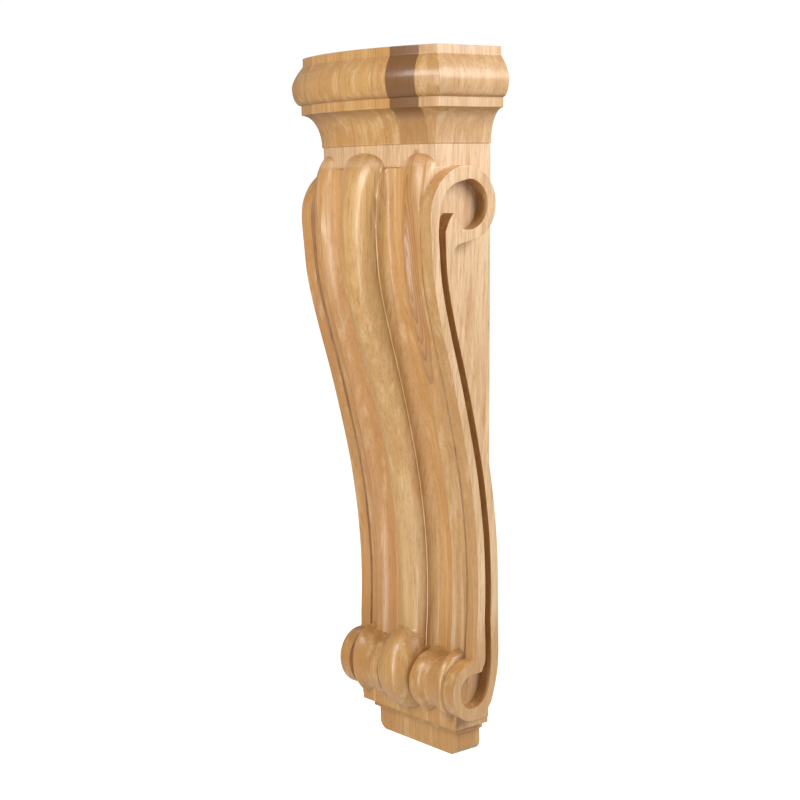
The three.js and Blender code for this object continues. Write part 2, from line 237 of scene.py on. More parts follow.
# Grain, from broad to fine. Each is (squeeze along the boards, scale, detail, roughness, distortion).
GRAIN = {
    "broad": (0.09, 55.0, 3.0, 0.55, 0.6),
    "bands": (0.03, 150.0, 3.0, 0.6, 0.3),
    "streaks": (0.02, 560.0, 3.0, 0.65, 0.0),
    "flecks": (0.06, 1500.0, 2.0, 0.6, 0.0),
}
GRAIN_LEAN = (2.5, 1.5, 0)
GRAIN_SHIFT = (0.37, 0.23, 3.0)
RINGS = 9.0
RING_FINENESS = 5.0

# How much darker the wood is painted on slopes, on the cap and towards the foot. On slopes and the cap it is
# partly the finish soaking into grain cut across, and partly painted shade in the coves and under the steps;
# towards the foot it is painted shade where the light falls off.
STAINED_SLOPES = (0.05, 0.8)
SLOPE_STAIN_AND_SHADE = 0.8
CAP_STAIN_AND_SHADE = 0.45
FOOT_FADE = (125.0, 95.0)
FOOT_PAINTED_SHADE = 0.55

# Colours of the wood, with painted light and painted shade among them, in the order in which they are laid
# over each other.
TINTS = {
    "pale board": (0.690, 0.430, 0.176, 1),
    "dark board": (0.345, 0.165, 0.060, 1),
    "red board": (0.520, 0.225, 0.068, 1),
    # Painted light: the pale, creamy tint of the brightly lit side panels and neck front.
    "painted light on flat faces": (0.800, 0.600, 0.400, 1),
    # Painted shade, with some real stain: darker slopes, cap and foot.
    "stain and painted shade": (0.440, 0.220, 0.060, 1),
    "broad grain": (0.520, 0.300, 0.110, 1),
    "brown band": (0.470, 0.225, 0.082, 1),
    "pale band": (0.800, 0.580, 0.340, 1),
    "pale leaf": (0.700, 0.500, 0.270, 1),
    "streak": (0.360, 0.170, 0.062, 1),
    "fleck": (0.250, 0.100, 0.034, 1),
    "ring": (0.360, 0.165, 0.060, 1),
    "figure": (0.470, 0.225, 0.078, 1),
    "figure line": (0.280, 0.105, 0.034, 1),
    "cap board": (0.180, 0.080, 0.028, 1),
    "glue joint": (0.170, 0.070, 0.022, 1),
}

# Satin finish.
PORE_STRENGTH = 0.16
PORE_DEPTH = 0.0004
FLECK_SHARE = 0.6
ROUGHNESS = (0.26, 0.38)
SPECULAR = 0.42
COAT = 0.22
COAT_ROUGHNESS = 0.18

# Room, in metres. The floor and the background look white to the camera and light the corbel less than that.
FLOOR_LEVEL = -0.62
FLOOR_HALF_SIZE = 20
FLOOR_GREY = 0.8
FLOOR_ROUGHNESS = 0.9
FLOOR_GLOW = 0.9
ROOM_LIGHT = 0.23
ROOM_SEEN = 1.02

# Lamps. Each has its azimuth from the front towards +X and its elevation in degrees, its distance and size in
# metres, its power in watts and its colour.
LAMPS = {
    "front strip": (7, 3, 1.8, (0.14, 1.5), 13, (1.0, 0.97, 0.93)),
    "front softbox": (0, 34, 1.3, (0.6, 0.5), 8.2, (1.0, 0.97, 0.93)),
    "side softbox": (114, 30, 1.3, (0.8, 0.9), 18, (1.0, 0.97, 0.94)),
}

# Camera, fitted to the photograph: its place, the way it looks, its roll in degrees and its lens.
CAMERA_PLACE = (1013.2, -860.1, 460.9)
CAMERA_LOOK = (-0.7692, 0.6251, -0.1327)
CAMERA_ROLL = -1.1
CAMERA_LENS = 74.10
SENSOR_WIDTH = 36

# Heights and centres that follow from the sizes.
COURSES_HEIGHT = BASE_BLOCK_HEIGHT + BASE_FILLET_HEIGHT + BASE_COURSE_HEIGHT
FILLET_FOOT = HEIGHT - TOP_FILLET_HEIGHT
TORUS_FOOT = FILLET_FOOT - TORUS_HEIGHT
LOWER_FILLET_FOOT = TORUS_FOOT - LOWER_FILLET_HEIGHT
NECK_TOP = LOWER_FILLET_FOOT - COVE_HEIGHT
NECK_FOOT = NECK_TOP - NECK_HEIGHT
BOW_CENTRE = math.sqrt(NECK_BOW_RADIUS ** 2 - NECK_HALF_WIDTH ** 2) - NECK_CORNER_DEPTH
UPPER_EYE_HEIGHT = NECK_FOOT - UPPER_EYE_DROP
BULGE_HEIGHT = NECK_FOOT - BULGE_DROP
REED_TOP = NECK_FOOT + max(BEAD_ARCH_RISE, REED_ARCH_RISE)


def mix(a, b, t):
    return a + (b - a) * t


def clamp(value, low=0.0, high=1.0):
    return min(high, max(low, value))


def smooth(low, high, value):
    t = clamp((value - low) / (high - low))
    return t * t * (3 - 2 * t)


def height_at(share):
    """Height at a share of the way from the lower eye to the upper eye."""
    return mix(LOWER_EYE_HEIGHT, UPPER_EYE_HEIGHT, share)


def panel_half_width(z):
    """Half-width of the carved panel at a height. It widens from the foot to the neck."""
    t = (z - COURSES_HEIGHT) / (NECK_FOOT - COURSES_HEIGHT)
    return mix(FOOT_HALF_WIDTH, NECK_HALF_WIDTH, min(1.0, t)) - HIDDEN_LAP * clamp(z - NECK_FOOT)


def bow_depth(x, projection):
    """Depth of the neck's bowed face, or of a moulding that stands out from it."""
    return math.sqrt((NECK_BOW_RADIUS + projection) ** 2 - x ** 2) - BOW_CENTRE


def spline(xs, ys, x):
    """Cubic through the points, with slopes taken from each point's neighbours."""
    x = clamp(x, xs[0], xs[-1])
    i = max(k for k in range(len(xs) - 1) if xs[k] <= x)
    slopes = []
    for k in (i, i + 1):
        low = max(k - 1, 0)
        high = min(k + 1, len(xs) - 1)
        slopes.append((ys[high] - ys[low]) / (xs[high] - xs[low]))
    step = xs[i + 1] - xs[i]
    t = (x - xs[i]) / step
    return (
        ys[i] * (1 + 2 * t) * (1 - t) ** 2
        + slopes[0] * step * t * (1 - t) ** 2
        + ys[i + 1] * t * t * (3 - 2 * t)
        + slopes[1] * step * t * t * (t - 1)
    )


PATH_HEIGHTS = [height_at(share) for share in PATH_SHARES]


def path_depth(z):
    """Depth of the side scrolls' front at a height."""
    return spline(PATH_HEIGHTS, PATH_DEPTHS, z)


def section_height(share, form, roundness):
    """Height of the reeding's section at a share of the half-width, from its six elements. The flutes meet
    in crisp arrises, or in full rounds where roundness is 1."""
    foot = form["arris"] - LINE_DEPTH * (1 - roundness ** 2)
    if share < BEAD_SHARE:
        return mix(foot, form["crest"], math.sqrt(1 - (share / BEAD_SHARE) ** 2))
    if share < LINE_SHARE:
        return mix(foot, form["arris"] + LINE_RISE, (share - BEAD_SHARE) / (LINE_SHARE - BEAD_SHARE))
    if share < ARRIS_SHARE:
        t = (share - LINE_SHARE) / (ARRIS_SHARE - LINE_SHARE)
        return form["arris"] + LINE_RISE * (1 - t)
    if share < COVE_SHARE:
        t = (COVE_SHARE - share) / (COVE_SHARE - ARRIS_SHARE)
        return mix(form["cove"], form["arris"], 1 - math.sqrt(1 - t ** 2))
    if share < REED_SHARE:
        t = (share - COVE_SHARE) / (REED_SHARE - COVE_SHARE)
        return mix(form["cove"], form["reed"], mix(t * t, (1 - math.cos(math.pi * t)) / 2, roundness))
    if share <= BORDER_SHARE:
        t = (share - REED_SHARE) / (BORDER_SHARE - REED_SHARE)
        return mix(form["border"], form["reed"], mix((1 - t) ** 2, math.sqrt(1 - t ** 2), roundness))
    t = min(1.0, (share - BORDER_SHARE) / (QUIRK_SHARE - BORDER_SHARE))
    return mix(form["border"], form["quirk"], t)


def roll_size(share, form):
    """One size of the rolls at a share of the half-width, from half the ball out to the quirk."""
    if share < ARRIS_SHARE:
        return mix(form["notch"], form["ball"], math.sqrt(1 - (share / ARRIS_SHARE) ** 2))
    if share < RIM_SHARE:
        return mix(form["notch"], form["rim"], (share - ARRIS_SHARE) / (RIM_SHARE - ARRIS_SHARE))
    if share < WAIST_SHARE:
        t = (share - RIM_SHARE) / (WAIST_SHARE - RIM_SHARE)
        return mix(form["rim"], form["waist"], t) + form["bulge"] * math.sin(math.pi * t)
    if share < FLANGE_SHARE:
        t = (share - WAIST_SHARE) / (FLANGE_SHARE - WAIST_SHARE)
        return mix(form["waist"], form["flange"], t ** FLANGE_FLARE)
    if share < BORDER_SHARE:
        t = (share - FLANGE_SHARE) / (BORDER_SHARE - FLANGE_SHARE)
        return mix(form["flange"], form["edge"], t ** 2)
    t = min(1.0, (share - BORDER_SHARE) / (QUIRK_SHARE - BORDER_SHARE))
    return mix(form["edge"], form["quirk"], t)


def arch_rise(share):
    """How far the reeding climbs the neck's face at a share of the half-width."""
    if share < BEAD_ARCH_FOOT:
        return BEAD_ARCH_RISE * math.sqrt(1 - (share / BEAD_ARCH_FOOT) ** 2)
    if share < REED_ARCH_PEAK:
        t = max(0.0, (share - REED_ARCH_FOOT) / (REED_ARCH_PEAK - REED_ARCH_FOOT))
        return REED_ARCH_RISE * (1 - math.cos(math.pi * t)) / 2
    t = min(1.0, (share - REED_ARCH_PEAK) / (1 - REED_ARCH_PEAK))
    return REED_ARCH_RISE * math.sqrt(1 - t ** 2)


def shoulder_height(share):
    """Outer side of the reed where it rounds into the side panel, above the quirk."""
    t = clamp((share - REED_SHARE) / (1 - REED_SHARE))
    return mix(SHOULDER_EDGE, SHOULDER["reed"], math.sqrt(1 - t ** 2))


def front_depth(share, z):
    """Depth of the reeded front and its rolls at a share of the half-width and a height."""
    x = share * panel_half_width(z)
    blend = smooth(height_at(SHANK_FROM), height_at(SHOULDER_FROM), z)
    form = {name: mix(SHANK[name], SHOULDER[name], blend) for name in SHANK}
    bend = max(0, (z - BULGE_HEIGHT) / (REED_TOP - BULGE_HEIGHT))
    spread = share / (1 + HEAD_SPREAD * bend ** 2 * (1 - share ** 2))
    section = section_height(spread, form, min(1.0, bend))
    if share > REED_SHARE:
        closed = smooth(NECK_FOOT - QUIRK_DROPS[0], NECK_FOOT - QUIRK_DROPS[1], z)
        section = mix(section, shoulder_height(spread), closed)
    depth = path_depth(z) + section
    if z > BULGE_HEIGHT:
        root = bow_depth(x, 0) - ROOT_SINK
        t = clamp((z - BULGE_HEIGHT) / (NECK_FOOT + arch_rise(share) - BULGE_HEIGHT))
        depth = mix(root, depth, (1 - t ** BULGE_SQUARENESS) ** (1 / BULGE_SQUARENESS))
    if z < LOWER_EYE_HEIGHT:
        fall = clamp((LOWER_EYE_HEIGHT - z) / (LOWER_EYE_HEIGHT - COURSES_HEIGHT))
        depth = mix(PATH_DEPTHS[0], BASE_DEPTH - HIDDEN_LAP, 1 - math.sqrt(1 - fall ** 2))
    lift = BALL_LIFT * math.sqrt(max(0, 1 - (share / ARRIS_SHARE) ** 2))
    rise = (z - LOWER_EYE_HEIGHT - lift) / roll_size(share, ROLL_HALF_HEIGHT)
    if abs(rise) < 1:
        depth = max(depth, LOWER_EYE_DEPTH + roll_size(share, ROLL_REACH) * math.sqrt(1 - rise ** 2))
    return depth


def piecewise(breaks, t):
    """Value at t, where breaks lists (t, value, way) and way bends the stretch that ends there."""
    for (t0, v0, _), (t1, v1, way) in zip(breaks, breaks[1:]):
        if t <= t1:
            u = clamp((t - t0) / (t1 - t0))
            if way == "rounded":
                u = math.sin(u * math.pi / 2)
            elif way == "hollowed":
                u = 1 - math.cos(u * math.pi / 2)
            elif way == "circle":
                u = (1 - math.cos(u * math.pi)) / 2
            return mix(v0, v1, u)
    return breaks[-1][1]


# Columns of the reeded grid, from the middle outwards, and its rows, from the foot up. Each stretch ends at
# (column or row, share or height there, how the steps in it are spaced).
ACROSS = (
    (0, 0, ""),
    (12, BEAD_SHARE, "rounded"),
    (13, LINE_SHARE, ""),
    (14, ARRIS_SHARE, ""),
    (22, COVE_SHARE, "hollowed"),
    (28, WAIST_SHARE, ""),
    (34, REED_SHARE, ""),
    (39, FLANGE_SHARE, ""),
    (43, BORDER_SHARE, ""),
    (45, QUIRK_SHARE, ""),
    (48, 1, ""),
)
BALL_HEIGHT = LOWER_EYE_HEIGHT + BALL_LIFT
UPWARDS = (
    (0, BALL_HEIGHT - ROLL_HALF_HEIGHT["ball"], ""),
    (64, BALL_HEIGHT + ROLL_HALF_HEIGHT["ball"], "circle"),
    (150, BULGE_HEIGHT, ""),
    (200, REED_TOP, "rounded"),
)


def to_object(name, bm):
    """The mesh as an object in the scene."""
    mesh = bpy.data.meshes.new(name)
    bm.to_mesh(mesh)
    bm.free()
    obj = bpy.data.objects.new(name, mesh)
    bpy.context.collection.objects.link(obj)
    return obj


def face_outwards(bm):
    bm.normal_update()
    bmesh.ops.recalc_face_normals(bm, faces=bm.faces)
    bm.normal_update()


def soften(bm):
    """Rounds the sharp arrises a little."""
    edges = [e for e in bm.edges if e.is_manifold and e.calc_face_angle() > math.radians(SOFT_ANGLE)]
    bmesh.ops.bevel(
        bm, geom=edges, offset=SOFT_EDGE, offset_type="OFFSET", segments=2, profile=0.5,
        affect="EDGES", material=-1, clamp_overlap=True,
    )


def reeded_body():
    """Body between the side panels: a grid bent into the reeds and rolls, drawn back past the wall."""
    across = ACROSS[-1][0]
    up = UPWARDS[-1][0]
    bm = bmesh.new()
    bmesh.ops.create_grid(bm, x_segments=2 * across, y_segments=up, size=1)
    for v in bm.verts:
        column = v.co.x * across
        share = piecewise(ACROSS, round(abs(column), 4))
        z = piecewise(UPWARDS, round((v.co.y + 1) / 2 * up, 4))
        side = math.copysign(1, column)
        v.co = Vector((side * share * panel_half_width(z), -front_depth(share, z), z))
    rim = [e for e in bm.edges if e.is_boundary]
    grown = bmesh.ops.extrude_edge_only(bm, edges=rim)["geom"]
    for v in grown:
        if isinstance(v, bmesh.types.BMVert):
            v.co.y = PAST_WALL
    bmesh.ops.edgeloop_fill(bm, edges=[e for e in bm.edges if e.is_boundary])
    face_outwards(bm)
    return to_object("reeded_body", bm)


def moulded_course(name, profile, half_width, depth_at, steps):
    """A moulding run round three sides: one outline in plan, extruded from ring to ring of the profile."""
    bm = bmesh.new()
    first = [bm.verts.new((0, 0, 0)) for _ in range(steps + 3)]
    edges = [bm.edges.new((a, b)) for a, b in zip(first, first[1:] + first[:1])]

    def place(verts, projection, z):
        width = half_width + projection
        for i, v in enumerate(verts):
            x = mix(-width, width, clamp((i - 1) / steps))
            y = PAST_WALL if i in (0, steps + 2) else -depth_at(x, projection)
            v.co = Vector((x, y, z))

    place(first, *profile[0])
    bmesh.ops.edgeloop_fill(bm, edges=edges)
    ring = first
    for projection, z in profile[1:]:
        grown = bmesh.ops.extrude_edge_only(bm, edges=edges)["geom"]
        edges = [g for g in grown if isinstance(g, bmesh.types.BMEdge)]
        fresh = {g for g in grown if isinstance(g, bmesh.types.BMVert)}
        ring = [next(e.other_vert(v) for e in v.link_edges if e.other_vert(v) in fresh) for v in ring]
        place(ring, projection, z)
        edges = [e for e in edges if e.verts[0] in fresh and e.verts[1] in fresh]
    bmesh.ops.edgeloop_fill(bm, edges=edges)
    face_outwards(bm)
    soften(bm)
    return to_object(name, bm)


def arc(projection, z, width, rise, start, end, steps):
    """Points of an arc of a moulding, as (projection, height)."""
    points = []
    for i in range(steps + 1):
        angle = math.radians(mix(start, end, i / steps))
        points.append((projection + width * math.cos(angle), z + rise * math.sin(angle)))
    return points


def cap():
    """Neck, cove, fillets and torus."""
    widest = mix(TORUS_FOOT, FILLET_FOOT, TORUS_WIDEST)
    lower = TORUS_PROJECTION - LOWER_FILLET_PROJECTION
    hollow = LOWER_FILLET_PROJECTION - COVE_TOE_PROJECTION
    profile = [(0, NECK_FOOT), (0, NECK_TOP)]
    profile += arc(LOWER_FILLET_PROJECTION, NECK_TOP, hollow, COVE_HEIGHT, 180, 90, COVE_STEPS)
    profile.append((LOWER_FILLET_PROJECTION, TORUS_FOOT))
    profile += arc(LOWER_FILLET_PROJECTION, widest, lower, widest - TORUS_FOOT, -90, 0, TORUS_STEPS)[1:]
    for i in range(1, TORUS_STEPS + 1):
        out = mix(TORUS_PROJECTION, TOP_FILLET_PROJECTION, (i / TORUS_STEPS) ** TORUS_SHOULDER)
        profile.append((out, mix(widest, FILLET_FOOT, i / TORUS_STEPS)))
    profile.append((TOP_FILLET_PROJECTION, HEIGHT))
    return moulded_course("cap", profile, NECK_HALF_WIDTH, bow_depth, BOW_STEPS)


def base():
    """Block, fillet and upper course."""
    radius = BASE_BLOCK_ROUND
    fillet_top = BASE_BLOCK_HEIGHT + BASE_FILLET_HEIGHT
    profile = arc(-BASE_BLOCK_INSET - radius, radius, radius, radius, -90, 0, BLOCK_ROUND_STEPS)
    profile += [
        (-BASE_BLOCK_INSET, BASE_BLOCK_HEIGHT),
        (-BASE_FILLET_INSET, BASE_BLOCK_HEIGHT),
        (-BASE_FILLET_INSET, fillet_top),
        (0, fillet_top),
        (0, COURSES_HEIGHT),
    ]

    def depth_at(x, projection):
        return BASE_DEPTH + max(projection, -BASE_BLOCK_INSET)

    return moulded_course("base", profile, BASE_HALF_WIDTH, depth_at, BASE_STEPS)


def path_points(low, high, set_back, steps):
    """Points along the front of a side scroll, or set back from it."""
    points = []
    for i in range(steps + 1):
        z = mix(low, high, i / steps)
        points.append((max(-PAST_WALL, path_depth(z) - set_back), z))
    return points


def around(eye, radius, degrees, tallness=1):
    """Point about an eye, with 0 degrees to the front and 90 degrees up."""
    angle = math.radians(degrees)
    return (eye[0] + radius * math.cos(angle), eye[1] + radius * tallness * math.sin(angle))


def turn(eye, radius, start, end, steps, tallness=1):
    """Points of an arc about an eye."""
    return [around(eye, radius, mix(start, end, i / steps), tallness) for i in range(steps + 1)]


def flowing(points, steps):
    """Smooth line through points, without its last one."""
    line = []
    count = len(points) - 1
    for k in range(steps):
        place = k / steps * count
        i = min(int(place), count - 1)
        t = place - i
        near = [Vector(points[clamp(i + j, 0, count)]) for j in (-1, 0, 1, 2)]
        a = near[1] * 2
        b = (near[2] - near[0]) * t
        c = (near[0] * 2 - near[1] * 5 + near[2] * 4 - near[3]) * t ** 2
        d = (near[1] * 3 - near[0] - near[2] * 3 + near[3]) * t ** 3
        line.append(tuple((a + b + c + d) / 2))
    return line


def off_circle(eye, radius, points):
    """Points about an eye that stand off a circle round it."""
    return [around(eye, radius + off, degrees) for off, degrees in points]


HEAD_HEIGHT = PATH_HEIGHTS[-1]
HEAD_DEPTH = PATH_DEPTHS[-1]
UPPER_EYE = (UPPER_EYE_DEPTH, UPPER_EYE_HEIGHT)
LOWER_EYE = (LOWER_EYE_DEPTH, LOWER_EYE_HEIGHT)


def scroll_outline():
    """Edge of a side scroll as (depth, height): up its front, over the crown and round the upper eye, down
    its rear and round the lower eye."""
    set_back = FRONT_BAND + GROOVE + REAR_BAND
    rear_top = HEAD_HEIGHT - 2 * REAR_BAND - UPPER_EYE_RADIUS
    rim_top = LOWER_EYE_HEIGHT + LOWER_RIM * LOWER_RIM_TALLNESS + RIM_GAP
    line = path_points(rim_top, HEAD_HEIGHT, 0, 60)[:-1]
    line += flowing([(HEAD_DEPTH, HEAD_HEIGHT), *off_circle(UPPER_EYE, UPPER_RIM, CROWN)], 48)
    line += turn(UPPER_EYE, UPPER_RIM, *UPPER_RIM_TURN, 32)
    line += flowing([
        (UPPER_EYE_DEPTH + CHIN_START[0], UPPER_EYE_HEIGHT - UPPER_RIM - CHIN_START[1]),
        *[(HEAD_DEPTH - set_back - back, HEAD_HEIGHT - drop) for back, drop in CHIN],
        (path_depth(rear_top) - set_back, rear_top),
    ], 18)
    line += path_points(rear_top, height_at(REAR_TURN_SHARE), set_back, 48)
    tail = [(depth, LOWER_EYE_HEIGHT + rise) for depth, rise in TAIL]
    line.append(tail[0])
    line += flowing([*tail[1:], around(LOWER_EYE, LOWER_RIM, LOWER_RIM_TURN[0], LOWER_RIM_TALLNESS)], 12)
    line += turn(LOWER_EYE, LOWER_RIM, *LOWER_RIM_TURN, 60, LOWER_RIM_TALLNESS)
    return line


def groove_outline():
    """Edge of the opening in a side scroll: from the upper eye down the groove's front, round the lower eye,
    and up the groove's rear."""
    front = HEAD_DEPTH - FRONT_BAND
    straight_top = HEAD_HEIGHT - GROOVE_STRAIGHT
    hook_top = height_at(HOOK_SHARE)
    hook = off_circle(LOWER_EYE, LOWER_EYE_RADIUS + HOOK_WIDTH, HOOK_FRONT)
    line = flowing([
        *off_circle(UPPER_EYE, UPPER_EYE_RADIUS, MOUTH),
        (front, UPPER_EYE_HEIGHT - MOUTH_DROP),
        (front, HEAD_HEIGHT - GROOVE_TOP),
    ], 32)
    line += path_points(straight_top, hook_top, FRONT_BAND, 70)[:-1]
    line += flowing([(path_depth(hook_top) - FRONT_BAND, hook_top), *hook], 24)
    line.append(hook[-1])
    line += turn(LOWER_EYE, LOWER_EYE_RADIUS, *LOWER_EYE_TURN, 48)[:-1]
    line += flowing([
        *off_circle(LOWER_EYE, LOWER_EYE_RADIUS, HOOK_REAR),
        (path_depth(hook_top) - FRONT_BAND - GROOVE, hook_top),
    ], 30)
    line += path_points(hook_top, straight_top, FRONT_BAND + GROOVE, 70)
    line += [(front - GROOVE - back, HEAD_HEIGHT + rise) for back, rise in GROOVE_BEND]
    line += off_circle(UPPER_EYE, UPPER_EYE_RADIUS, THROAT)
    line += turn(UPPER_EYE, UPPER_EYE_RADIUS, *UPPER_EYE_TURN, 48)
    return line


def scroll(side):
    """One side scroll, cut as a flat board with softened edges and leaned against its panel."""
    curve = bpy.data.curves.new("scroll", "CURVE")
    curve.dimensions = "2D"
    curve.fill_mode = "BOTH"
    curve.extrude = (SCROLL_THICKNESS + SINK) / 2 - SOFT_EDGE
    curve.bevel_depth = SOFT_EDGE
    curve.bevel_resolution = 1
    curve.offset = -SOFT_EDGE
    for line in (scroll_outline(), groove_outline()):
        points = curve.splines.new("POLY")
        points.points.add(len(line) - 1)
        for point, (depth, z) in zip(points.points, line):
            point.co = (depth, z, 0, 1)
        points.use_cyclic_u = True
    holder = bpy.data.objects.new("scroll", curve)
    bpy.context.collection.objects.link(holder)
    mesh = bpy.data.meshes.new_from_object(holder.evaluated_get(bpy.context.evaluated_depsgraph_get()))
    bpy.data.objects.remove(holder)
    bpy.data.curves.remove(curve)
    bm = bmesh.new()
    bm.from_mesh(mesh)
    bpy.data.meshes.remove(mesh)
    bmesh.ops.remove_doubles(bm, verts=bm.verts, dist=0.001)
    for v in bm.verts:
        depth, z, out = v.co
        out += (SCROLL_THICKNESS - SINK) / 2
        v.co = Vector((side * (panel_half_width(z) + out), -depth, z))
    face_outwards(bm)
    return to_object("scroll", bm)


def join(body, others):
    """One closed mesh from the body and what is carved with it, as a union."""
    for other in others:
        union = body.modifiers.new("union", "BOOLEAN")
        union.operation = "UNION"
        union.solver = "EXACT"
        union.object = other
    mesh = bpy.data.meshes.new_from_object(body.evaluated_get(bpy.context.evaluated_depsgraph_get()))
    for used in [body, *others]:
        data = used.data
        bpy.data.objects.remove(used)
        bpy.data.meshes.remove(data)
    bm = bmesh.new()
    bm.from_mesh(mesh)
    bpy.data.meshes.remove(mesh)
    return bm


def carved_corbel():
    """The whole corbel as one mesh, trimmed flat at the wall."""
    bm = join(reeded_body(), [cap(), base(), scroll(1), scroll(-1)])
    everything = bm.verts[:] + bm.edges[:] + bm.faces[:]
    bmesh.ops.bisect_plane(bm, geom=everything, plane_co=(0, 0, 0), plane_no=(0, 1, 0), clear_outer=True)
    bmesh.ops.holes_fill(bm, edges=[e for e in bm.edges if e.is_boundary])
    bmesh.ops.remove_doubles(bm, verts=bm.verts, dist=0.002)
    bmesh.ops.translate(bm, vec=(0, 0, -HEIGHT / 2), verts=bm.verts)
    bmesh.ops.scale(bm, vec=(0.001, 0.001, 0.001), verts=bm.verts)
    corbel = to_object("corbel_carving", bm)
    corbel.data.shade_smooth()
    corbel.data.set_sharp_from_angle(angle=math.radians(SHARP_ANGLE))
    even = corbel.modifiers.new("even shading", "WEIGHTED_NORMAL")
    even.keep_sharp = True
    return corbel


class Nodes:
    """Short calls for building a node tree."""

    def __init__(self, tree):
        self.tree = tree

    def add(self, kind, **settings):
        node = self.tree.nodes.new(kind)
        for name, value in settings.items():
            setattr(node, name, value)
        return node

    def feed(self, socket, value):
        if isinstance(value, bpy.types.NodeSocket):
            self.tree.links.new(value, socket)
        else:
            socket.default_value = value

    def math(self, operation, *values, clamped=False):
        node = self.add("ShaderNodeMath", operation=operation, use_clamp=clamped)
        for socket, value in zip(node.inputs, values):
            self.feed(socket, value)
        return node.outputs[0]

    def vector(self, operation, *values):
        node = self.add("ShaderNodeVectorMath", operation=operation)
        for socket, value in zip(node.inputs, values):
            self.feed(socket, value)
        return node.outputs[0]

    def remap(self, value, low, high, to_low, to_high):
        node = self.add("ShaderNodeMapRange")
        for socket, item in zip(node.inputs, (value, low, high, to_low, to_high)):
            self.feed(socket, item)
        return node.outputs[0]

    def noise(self, vector, scale, detail=2.0, roughness=0.5, distortion=0.0):
        node = self.add("ShaderNodeTexNoise")
        self.feed(node.inputs["Vector"], vector)
        self.feed(node.inputs["Scale"], scale)
        self.feed(node.inputs["Detail"], detail)
        self.feed(node.inputs["Roughness"], roughness)
        self.feed(node.inputs["Distortion"], distortion)
        return node.outputs[0]

    def blend(self, factor, a, b):
        node = self.add("ShaderNodeMix", data_type="RGBA")
        self.feed(node.inputs[0], factor)
        self.feed(node.inputs[6], a)
        self.feed(node.inputs[7], b)
        return node.outputs[2]

    def parts(self, vector):
        """The three numbers of a vector."""
        split = self.add("ShaderNodeSeparateXYZ")
        self.feed(split.inputs[0], vector)
        return split.outputs

    def within(self, value, low, high, softness):
        """1 between two limits and 0 outside them."""
        rise = self.remap(value, low - softness, low + softness, 0.0, 1.0)
        fall = self.remap(value, high - softness, high + softness, 1.0, 0.0)
        return self.math("MULTIPLY", rise, fall)


class Spot:
    """A spot on the wood: where it is, in millimetres, and which way its surface faces."""

    def __init__(self, n):
        self.place = n.add("ShaderNodeTexCoord").outputs["Object"]
        x, y, z = n.parts(self.place)
        self.x = n.math("MULTIPLY", x, 1000.0)
        self.depth = n.math("MULTIPLY", y, -1000.0)
        self.z = n.math("ADD", n.math("MULTIPLY", z, 1000.0), HEIGHT / 2)
        leaning = n.math("MULTIPLY", n.math("SUBTRACT", self.depth, NECK_CORNER_DEPTH), JOINT_LEAN)
        self.across = n.math("SUBTRACT", self.x, leaning)
        aside, back, up = n.parts(n.add("ShaderNodeTexCoord").outputs["Normal"])
        sideways = n.math("GREATER_THAN", n.math("ABSOLUTE", aside), SIDEWAYS)
        outside = n.math("GREATER_THAN", n.math("ABSOLUTE", self.x), SIDE_FROM)
        self.on_side = n.math("MULTIPLY", sideways, outside)
        self.in_sight = n.math("LESS_THAN", back, TO_THE_WALL)
        self.slope = n.math("ABSOLUTE", up)


def board_row(n, position, table):
    """Tones of a row of boards, and the thin glue joints between them."""
    low = table[0][0]
    high = table[-1][0] + LAST_BOARD_WIDTH
    ramp = n.add("ShaderNodeValToRGB")
    ramp.color_ramp.interpolation = "CONSTANT"
    n.feed(ramp.inputs[0], n.remap(position, float(low), float(high), 0.0, 1.0))
    stops = ramp.color_ramp.elements
    while len(stops) < len(table):
        stops.new(1.0)
    for stop, (start, dark, red, shift) in zip(stops, table):
        stop.position = (start - low) / (high - low)
        stop.color = (dark, red, shift, 1)
    joints = 0.0
    for start, *_ in table[1:]:
        joint = n.within(position, start - JOINT_HALF_WIDTH, start + JOINT_HALF_WIDTH, JOINT_SOFTNESS)
        joints = n.math("MAXIMUM", joints, joint)
    return ramp.outputs[0], joints


def boards(n, spot):
    """How dark and how red the boards are, how far their grain is shifted, and the joints between them."""
    front_tone, front_joints = board_row(n, spot.across, FRONT_BOARDS)
    side_tone, side_joints = board_row(n, spot.depth, SIDE_BOARDS)
    tone = n.add("ShaderNodeSeparateColor")
    n.feed(tone.inputs[0], n.blend(spot.on_side, front_tone, side_tone))
    dark, red, shift = tone.outputs
    redder = n.remap(spot.depth, *REDDER_DEPTHS, REDDER_BY, 0.0)
    redder = n.math("MULTIPLY", redder, n.remap(spot.x, *REDDER_ACROSS, 1.0, 0.0))
    red = n.math("ADD", red, redder, clamped=True)
    fade = n.remap(spot.z, NECK_FOOT - FADE_HEIGHT, NECK_FOOT, JOINTS_ON_CARVING, 1.0)
    front_joints = n.math("MULTIPLY", front_joints, fade)
    side_joints = n.math("MULTIPLY", side_joints, JOINTS_ON_SIDE)
    return dark, red, shift, n.remap(spot.on_side, 0.0, 1.0, front_joints, side_joints)


def dark_board(n, spot):
    """The one dark board, seen on the front of the cap and fainter in the cove."""
    on_cap = n.math("MULTIPLY", spot.in_sight, n.math("GREATER_THAN", spot.z, NECK_TOP))
    in_front = n.math("LESS_THAN", spot.on_side, 0.5)
    strip = n.math("MULTIPLY", in_front, n.within(spot.across, *DARK_BOARD, DARK_BOARD_SOFTNESS))
    fade = n.remap(spot.z, LOWER_FILLET_FOOT - FADE_HEIGHT, LOWER_FILLET_FOOT, DARK_BOARD_IN_COVE, 1.0)
    return n.math("MULTIPLY", on_cap, n.math("MULTIPLY", fade, strip))


